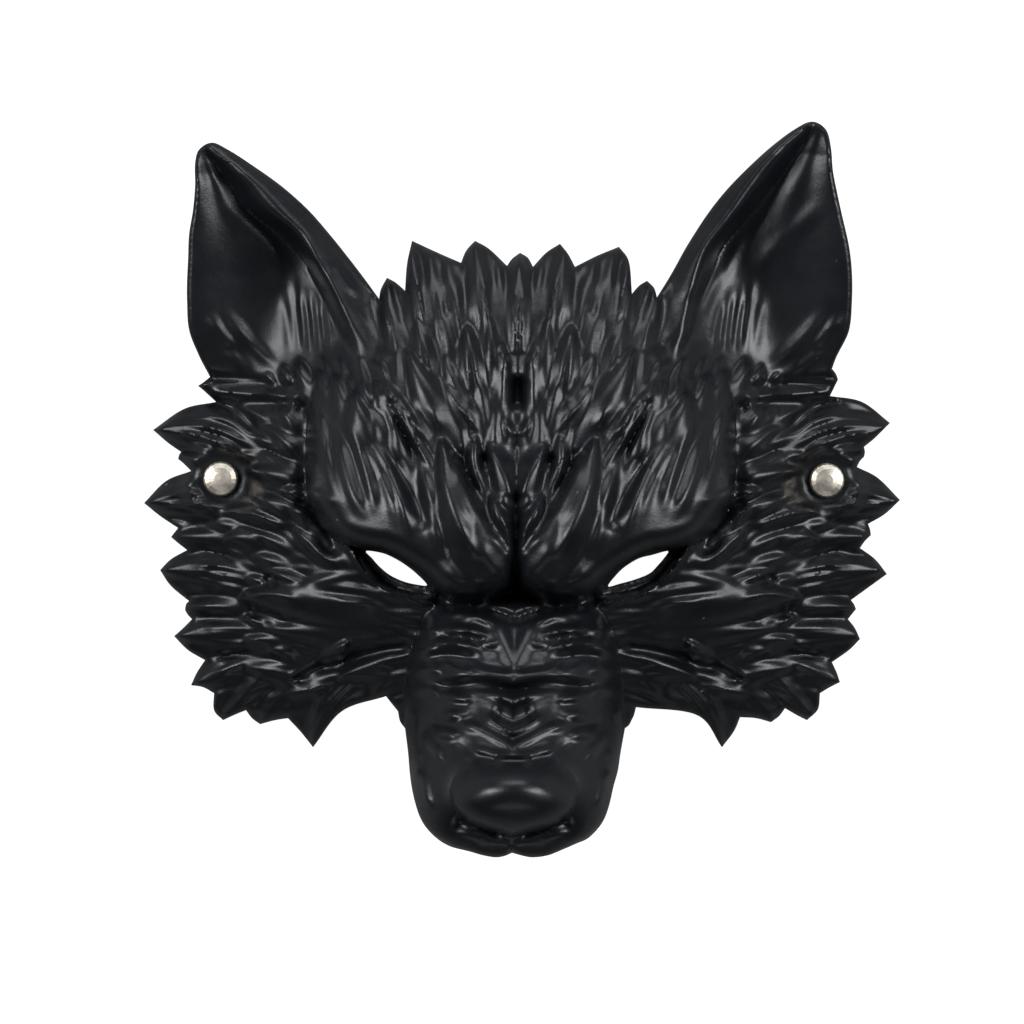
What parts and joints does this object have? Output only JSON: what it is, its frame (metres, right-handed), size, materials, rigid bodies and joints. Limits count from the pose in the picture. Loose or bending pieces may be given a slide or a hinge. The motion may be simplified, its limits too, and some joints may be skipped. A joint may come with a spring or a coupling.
{
  "type": "werewolf half mask",
  "caption": "Black moulded foam wolf half mask with sculpted fur, cupped ears, a wrinkled protruding muzzle, slit eye openings and a rivet at each side for a strap.",
  "frame": {"origin": "on the rest plane under the middle of the mask's bounds, the mask lying face up", "axes": "+X to the right seen from the front, +Y up the face towards the ears, +Z out of the face"},
  "size_m": [0.2198, 0.205, 0.0978],
  "materials": {
    "black_foam": "satin moulded skin",
    "nickel_cap": "polished",
    "steel_back": "plain"
  },
  "bodies": {
    "root": {"mask_shell": "black_foam", "rivet_cap_left": "nickel_cap", "rivet_cap_right": "nickel_cap", "rivet_back_left": "steel_back", "rivet_back_right": "steel_back"}
  },
  "joints": []
}
